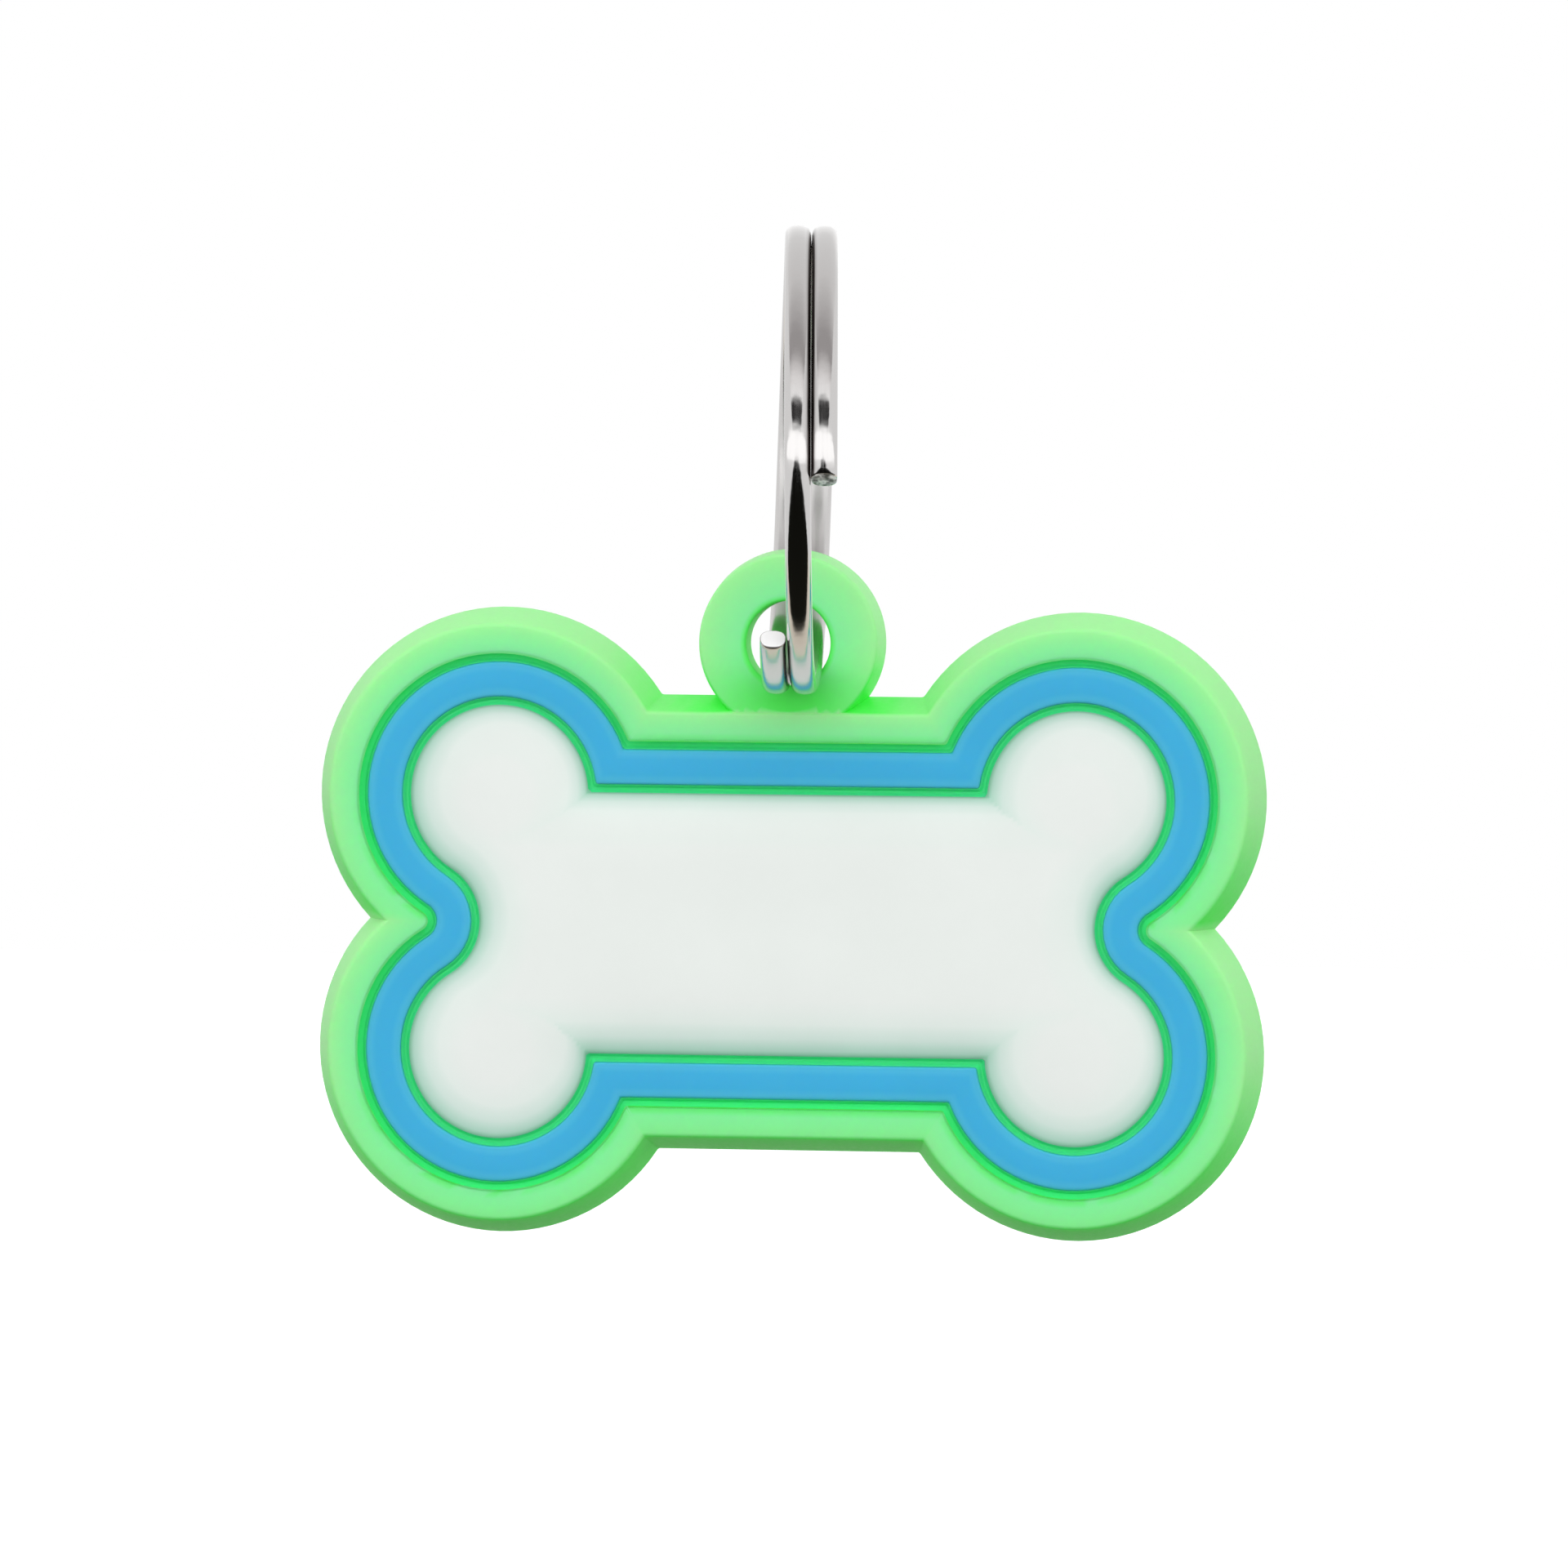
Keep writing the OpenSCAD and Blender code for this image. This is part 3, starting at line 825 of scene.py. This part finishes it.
def wire_tree(values):
    """Geometry nodes that wind a flattened wire nearly twice round, going on by one pitch a turn.

    values gives the tree's inputs their names and kinds. Returns the tree and its input sockets.
    """
    tree = bpy.data.node_groups.new("wound_wire", "GeometryNodeTree")
    kinds = {float: "NodeSocketFloat", int: "NodeSocketInt", bpy.types.Material: "NodeSocketMaterial"}
    sockets = {}
    for name, value in values.items():
        kind = kinds[type(value)]
        sockets[name] = tree.interface.new_socket(name, in_out="INPUT", socket_type=kind)
    tree.interface.new_socket("Geometry", in_out="OUTPUT", socket_type="NodeSocketGeometry")
    given = add(tree, "NodeGroupInput").outputs
    outer = add(tree, "ShaderNodeMath", (given["Outer diameter"], 0.5), operation="MULTIPLY")
    half_wide = add(tree, "ShaderNodeMath", (given["Wire width"], 0.5), operation="MULTIPLY")
    half_thick = add(tree, "ShaderNodeMath", (given["Wire thickness"], 0.5), operation="MULTIPLY")
    radius = add(tree, "ShaderNodeMath", (outer, half_thick), operation="SUBTRACT")

    # The wire's own line: a straight one, wound by each point's share of its length
    line = add(tree, "GeometryNodeCurvePrimitiveLine", {"End": (0, 0, 1)})
    stepped = add(tree, "GeometryNodeResampleCurve", {"Curve": line, "Count": given["Wire points"]})
    along = add(tree, "GeometryNodeSplineParameter").outputs["Factor"]
    # Angles go from the top over the front, and whole turns are counted from the foot
    ends = (given["Outer end"], given["Inner end"])
    short = add(tree, "ShaderNodeMath", ends, operation="SUBTRACT")
    full = add(tree, "ShaderNodeMath", (short, 4 * math.pi), operation="ADD")
    wound = add(tree, "ShaderNodeMath", (along, full), operation="MULTIPLY")
    angle = add(tree, "ShaderNodeMath", (given["Outer end"], wound), operation="SUBTRACT")
    from_foot = add(tree, "ShaderNodeMath", (angle, math.pi), operation="ADD")
    turns = add(tree, "ShaderNodeMath", (from_foot, 2 * math.pi), operation="DIVIDE")
    sprung = add(tree, "ShaderNodeFloatCurve", {"Value": along})
    points = sprung.mapping.curves[0].points
    while len(points) < len(SPRUNG):
        points.new(0.5, 0.5)
    for point, place in zip(points, SPRUNG):
        point.location = place
    sprung.mapping.update()
    off = add(tree, "ShaderNodeMath", (sprung, 0.25), operation="SUBTRACT")
    aside = add(tree, "ShaderNodeMath", (given["Spring"], off), operation="MULTIPLY")
    side = add(tree, "ShaderNodeMath", (given["Coil pitch"], turns, aside), operation="MULTIPLY_ADD")
    top = add(tree, "ShaderNodeCombineXYZ", {"X": side, "Z": radius})
    coil = add(tree, "ShaderNodeVectorRotate", {"Vector": top, "Angle": angle}, rotation_type="X_AXIS")
    bent = add(tree, "GeometryNodeSetPosition", {"Geometry": stepped, "Position": coil})
    wire = add(tree, "GeometryNodeSetCurveNormal", {"Curve": bent, "Normal": (1, 0, 0)}, mode="FREE")
    length = add(tree, "GeometryNodeSplineParameter").outputs["Length"]
    length = add(tree, "ShaderNodeMath", (length, MM), operation="DIVIDE")
    for name, value in (("share", along), ("along", length)):
        kept = {"Geometry": wire, "Name": name, "Value": value}
        wire = add(tree, "GeometryNodeStoreNamedAttribute", kept)

    # The wire's section, a flattened circle with crowned faces
    circle = add(tree, "GeometryNodeCurvePrimitiveCircle", {"Resolution": 56, "Radius": 1.0})
    at = add(tree, "GeometryNodeInputPosition")
    away = add(tree, "ShaderNodeVectorMath", (at,), operation="ABSOLUTE")
    away = add(tree, "ShaderNodeSeparateXYZ", (away,))
    powers = [
        add(tree, "ShaderNodeMath", (away.outputs[axis], given["Wire fullness"]), operation="POWER")
        for axis in "XY"
    ]
    total = add(tree, "ShaderNodeMath", powers, operation="ADD")
    root = add(tree, "ShaderNodeMath", (-1.0, given["Wire fullness"]), operation="DIVIDE")
    swell = add(tree, "ShaderNodeMath", (total, root), operation="POWER")
    halves = add(tree, "ShaderNodeCombineXYZ", (half_wide, half_thick))
    flattened = add(tree, "ShaderNodeVectorMath", (at, halves), operation="MULTIPLY")
    swollen = add(tree, "ShaderNodeVectorMath", (flattened, swell), operation="SCALE")
    section = add(tree, "GeometryNodeSetPosition", {"Geometry": circle, "Position": swollen})
    girth = add(tree, "GeometryNodeSplineParameter").outputs["Length"]
    girth = add(tree, "ShaderNodeMath", (girth, MM), operation="DIVIDE")
    kept = {"Geometry": section, "Name": "around", "Value": girth}
    section = add(tree, "GeometryNodeStoreNamedAttribute", kept)
    swept = add(
        tree, "GeometryNodeCurveToMesh", {"Curve": wire, "Profile Curve": section, "Fill Caps": True}
    )

    # The outer end's slanted cut: points on its ring slide on, the more the further in they lie
    at = add(tree, "GeometryNodeInputPosition")
    flat = add(tree, "ShaderNodeVectorMath", (at, (0, 1, 1)), operation="MULTIPLY")
    reach = add(tree, "ShaderNodeVectorMath", (flat,), operation="LENGTH")
    inwards = add(tree, "ShaderNodeMath", (reach, outer), operation="SUBTRACT")
    slant = add(tree, "ShaderNodeMath", (given["End slant"],), operation="TANGENT")
    slip = add(tree, "ShaderNodeMath", (inwards, slant), operation="MULTIPLY")
    slid = {"Vector": add(tree, "ShaderNodeCombineXYZ", {"Y": slip}), "Angle": given["Outer end"]}
    slide = add(tree, "ShaderNodeVectorRotate", slid, rotation_type="X_AXIS")
    from_line = add(tree, "ShaderNodeMath", (reach, radius), operation="SUBTRACT")
    outward = add(tree, "ShaderNodeMath", (from_line, half_thick), operation="DIVIDE")
    kept = {"Geometry": swept, "Name": "outward", "Value": outward}
    whole = add(tree, "GeometryNodeStoreNamedAttribute", kept)
    share = add(tree, "GeometryNodeInputNamedAttribute", {"Name": "share"}).outputs["Attribute"]
    at_end = add(tree, "FunctionNodeCompare", {"A": share, "B": 1e-6}, operation="LESS_THAN")
    cut = add(tree, "GeometryNodeSetPosition", {"Geometry": whole, "Selection": at_end, "Offset": slide})

    # The ring hangs from the inside of its top, turned and leaning
    drop = add(tree, "ShaderNodeMath", (given["Wire thickness"], outer), operation="SUBTRACT")
    drop = add(tree, "ShaderNodeMath", (drop, given["Sag"]), operation="SUBTRACT")
    down = add(tree, "ShaderNodeCombineXYZ", {"Z": drop})
    hung = add(tree, "GeometryNodeTransform", {"Geometry": cut, "Translation": down})
    for axis, name in (("Z", "Turn"), ("Y", "Lean")):
        turned = add(tree, "ShaderNodeCombineXYZ", {axis: given[name]})
        hung = add(tree, "GeometryNodeTransform", {"Geometry": hung, "Rotation": turned})
    real = add(tree, "GeometryNodeRealizeInstances", {"Geometry": hung})
    painted = add(tree, "GeometryNodeSetMaterial", {"Geometry": real, "Material": given["Material"]})
    add(tree, "NodeGroupOutput", {"Geometry": painted})
    return tree, sockets


class TAG_OT_split_ring(bpy.types.Operator):
    """Winds the split ring from one length of flattened wire"""

    bl_idname = "pet_tag.split_ring"
    bl_label = "Split ring"

    def execute(self, context):
        size = context.scene.tag_ring
        labels = size.bl_rna.properties
        values = {labels[key].name: getattr(size, key) for key in RingSettings.__annotations__}
        values |= {"Wire points": WIRE_POINTS, "Material": nickel_steel()}
        tree, sockets = wire_tree(values)
        mesh = bpy.data.meshes.new("split_ring_wire")
        piece = bpy.data.objects.new("split_ring_wire", mesh)
        context.scene.collection.objects.link(piece)
        wind = piece.modifiers.new("wind", "NODES")
        wind.node_group = tree
        for name, value in values.items():
            wind[sockets[name].identifier] = value
        settle(piece)
        if not piece.data.polygons:
            raise RuntimeError("the wire's nodes gave no faces")
        bevel = piece.modifiers.new("cut_edges", "BEVEL")
        bevel.width = 0.05 * MM
        bevel.segments = 2
        bevel.limit_method = "ANGLE"
        bevel.angle_limit = math.radians(40)
        settle(piece)
        smooth(piece, 40)
        # A cut is a face of many corners: 1 on the outer end's, which faces down, and a half on the inner's
        many = 20
        marks = [(1.0 if f.normal.z < 0 else 0.5) * (len(f.vertices) > many) for f in piece.data.polygons]
        cut = piece.data.attributes.new("cut", "FLOAT", "FACE")
        cut.data.foreach_set("value", marks)
        share = np.empty(len(piece.data.vertices))
        piece.data.attributes["share"].data.foreach_get("value", share)
        normals = vertex_values(piece, "normal")
        sideways = normals[:, 0] * math.cos(size.turn) + normals[:, 1] * math.sin(size.turn)
        # One turn is this share of the wire; the stretch between the two ends lies alone
        one_turn = 2 * math.pi / (size.outer_end - size.inner_end + 4 * math.pi)
        paired = np.abs(share - 0.5) > one_turn - 0.5
        # Painted shade where a coil faces the next one
        faces_other = np.clip((sideways * np.sign(share - 0.5) - 0.45) / 0.3, 0, 1)
        keep_attribute(piece, "between", faces_other * paired)
        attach(piece, "ring")
        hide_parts("split_ring")
        return {"FINISHED"}


# Stage


# What the ring mirrors, by the share of a turn that starts at the camera and goes under the object, behind
# it, over it and back: a dark table, a pale wall and ceiling, a dark bar and a white card by the camera
CARDS = [
    (0.0, "0A0A08"), (0.255, "141410"), (0.268, "C2BAAC"), (0.4, "D0CBC2"),
    (0.5, "E6E6E6"), (0.6, "C8C8C8"), (0.714, "C0BFBF"), (0.779, "A8A6A6"),
    (0.82, "928F8F"), (0.845, "928F8F"), (0.884, "D0CECE"), (0.912, "E4E4E4"),
    (0.92, "2A2828"), (0.948, "303030"), (0.962, "FFFFFF"), (1.0, "FFFFFF"),
]


def studio_world():
    """White for the camera, soft light from above for the object, and a studio's cards for what mirrors."""
    world = bpy.data.worlds.new("studio")
    bpy.context.scene.world = world
    world.use_nodes = True
    tree = world.node_tree
    tree.nodes.clear()
    direction = add(tree, "ShaderNodeTexCoord").outputs["Generated"]
    x, y, z = add(tree, "ShaderNodeSeparateXYZ", (direction,)).outputs
    # Angle of the ray round the X axis: 0 behind the object, a quarter overhead, a half at the camera
    round_x = add(tree, "ShaderNodeMath", (z, y), operation="ARCTAN2")
    share = add(tree, "ShaderNodeMapRange", (round_x, -math.pi, math.pi))
    cards = set_ramp(add(tree, "ShaderNodeValToRGB", (share,)), CARDS)
    # Light walls to the left and right, which close in towards the horizon
    sides = add(tree, "ShaderNodeValToRGB", (share,))
    set_ramp(sides, [(0.0, "FFFFFF"), (0.006, "CCCCCC"), (0.952, "CCCCCC"), (0.962, "FFFFFF")])
    across = add(tree, "ShaderNodeMath", (x,), operation="ABSOLUTE")
    above = add(tree, "ShaderNodeMath", (z, 0.9), operation="MULTIPLY")
    under = add(tree, "ShaderNodeMath", (z, -1.9), operation="MULTIPLY")
    open_to = add(tree, "ShaderNodeMath", (above, under), operation="MAXIMUM")
    past = add(tree, "ShaderNodeMath", (across, open_to), operation="SUBTRACT")
    aside = add(tree, "ShaderNodeMapRange", (past, 0.04, 0.18), interpolation_type="SMOOTHSTEP")
    walled = add(tree, "ShaderNodeMix", (aside, cards, sides), data_type="RGBA")
    mirrored = add(tree, "ShaderNodeBackground", (walled, 1.45))
    # Soft light for all else, strongest level with the object
    low = add(tree, "ShaderNodeMapRange", (z, -0.7, 0.1, 0.66, 1.24))
    overhead = add(tree, "ShaderNodeMapRange", (z, 0.2, 0.9, 1.0, 0.42))
    strength = add(tree, "ShaderNodeMath", (low, overhead), operation="MULTIPLY")
    soft = add(tree, "ShaderNodeBackground", ((1, 1, 1, 1), strength))
    white = add(tree, "ShaderNodeBackground", ((1, 1, 1, 1), 1.0))
    path = add(tree, "ShaderNodeLightPath").outputs
    lit = add(tree, "ShaderNodeMixShader", (path["Is Glossy Ray"], soft, mirrored))
    shown = add(tree, "ShaderNodeMixShader", (path["Is Camera Ray"], lit, white))
    add(tree, "ShaderNodeOutputWorld", {"Surface": shown})


def white_paper():
    """Matt white paper. It gives back less light than it shows, so it hardly lights the object from below."""
    material, tree = new_material("white_sweep")
    paper = add(tree, "ShaderNodeBsdfDiffuse", {"Color": linear("909090")})
    # The camera sees whiter paper, on which the object's shadow still shows
    white = add(tree, "ShaderNodeBsdfDiffuse", {"Color": (1, 1, 1, 1)})
    lift = add(tree, "ShaderNodeEmission", {"Color": (1, 1, 1, 1), "Strength": 0.4})
    lifted = add(tree, "ShaderNodeAddShader", (white, lift))
    seen = add(tree, "ShaderNodeLightPath").outputs["Is Camera Ray"]
    shown = add(tree, "ShaderNodeMixShader", (seen, paper, lifted))
    add(tree, "ShaderNodeOutputMaterial", {"Surface": shown})
    return material


class TAG_OT_studio(bpy.types.Operator):
    """Sets the camera, the lamps, the floor and the white surroundings"""

    bl_idname = "pet_tag.studio"
    bl_label = "Studio"

    def execute(self, context):
        scene = context.scene
        studio = scene.tag_studio
        scene.view_settings.view_transform = "Standard"
        bone = Vector((HOLE.x, HOLE.y, HOLE.z - EAR_Y)) * MM
        # Where the bone's middle lies in the photograph, off its middle, at 23 pixels a millimetre
        pixel = MM / 23
        off_right, off_down = 5.2 * pixel, 172 * pixel
        level = math.cos(studio.elevation)
        towards = Vector((math.sin(studio.azimuth) * level, -math.cos(studio.azimuth) * level, 0))
        towards.z = math.sin(studio.elevation)
        turn = towards.to_track_quat("Z", "Y").to_matrix() @ Matrix.Rotation(studio.roll, 3, "Z")
        target = bone - turn @ Vector((off_right, -off_down, 0))
        lens = bpy.data.cameras.new("camera")
        camera = bpy.data.objects.new("camera", lens)
        scene.collection.objects.link(camera)
        camera.matrix_world = Matrix.Translation(target + towards * studio.distance) @ turn.to_4x4()
        lens.lens = lens.sensor_width * studio.distance / studio.field_width
        lens.clip_start = 0.01
        lens.clip_end = 20
        scene.camera = camera

        # Name, place, diameter and power of each lamp
        lamps = [
            ("key_softbox", (-0.07, -0.3, 0.18), 0.7, 0.68),
            ("front_softbox", (0.25, -0.6, 0.12), 0.8, 0.9),
            ("back_softbox", (0.1, 0.6, 0.0), 0.8, 1.4),
        ]
        for name, place, across, power in lamps:
            light = bpy.data.lights.new(name, "AREA")
            light.shape = "DISK"
            light.size = across
            light.energy = power
            lamp = bpy.data.objects.new(name, light)
            scene.collection.objects.link(lamp)
            lamp.location = place
            lamp.rotation_euler = (bone - lamp.location).to_track_quat("-Z", "Y").to_euler()
            lamp.visible_glossy = False
            lamp.visible_camera = False

        studio_world()
        reach, below = 3.0, 0.2
        corners = [(x * reach, y * reach, -below) for x, y in ((-1, -1), (1, -1), (1, 1), (-1, 1))]
        floor = new_piece("studio_floor", corners, [(0, 1, 2, 3)], white_paper())
        floor.visible_glossy = False
        return {"FINISHED"}


class TAG_PT_sidebar(bpy.types.Panel):
    """Lists the tag's pieces in the sidebar"""

    bl_idname = "TAG_PT_sidebar"
    bl_label = "Pet id tag"
    bl_space_type = "VIEW_3D"
    bl_region_type = "UI"
    bl_category = "Pet tag"

    def draw(self, context):
        for operator in OPERATORS:
            self.layout.operator(operator.bl_idname)


SETTINGS = {
    "tag_pvc": PvcSettings,
    "tag_moulding": MouldingSettings,
    "tag_ring": RingSettings,
    "tag_studio": StudioSettings,
}
OPERATORS = (TAG_OT_moulding, TAG_OT_stripe, TAG_OT_panel, TAG_OT_split_ring, TAG_OT_studio)


def register():
    """Adds the settings, the operators and the sidebar's panel."""
    for name, group in SETTINGS.items():
        bpy.utils.register_class(group)
        setattr(bpy.types.Scene, name, bpy.props.PointerProperty(type=group))
    for operator in OPERATORS:
        bpy.utils.register_class(operator)
    bpy.utils.register_class(TAG_PT_sidebar)


def unregister():
    """Takes away what register added."""
    bpy.utils.unregister_class(TAG_PT_sidebar)
    for operator in reversed(OPERATORS):
        bpy.utils.unregister_class(operator)
    for name, group in SETTINGS.items():
        delattr(bpy.types.Scene, name)
        bpy.utils.unregister_class(group)


def main():
    """Builds the tag and its stage."""
    register()
    bpy.ops.pet_tag.moulding()
    bpy.ops.pet_tag.stripe()
    bpy.ops.pet_tag.panel()
    bpy.ops.pet_tag.split_ring()
    bpy.ops.pet_tag.studio()


if __name__ == "__main__":
    main()
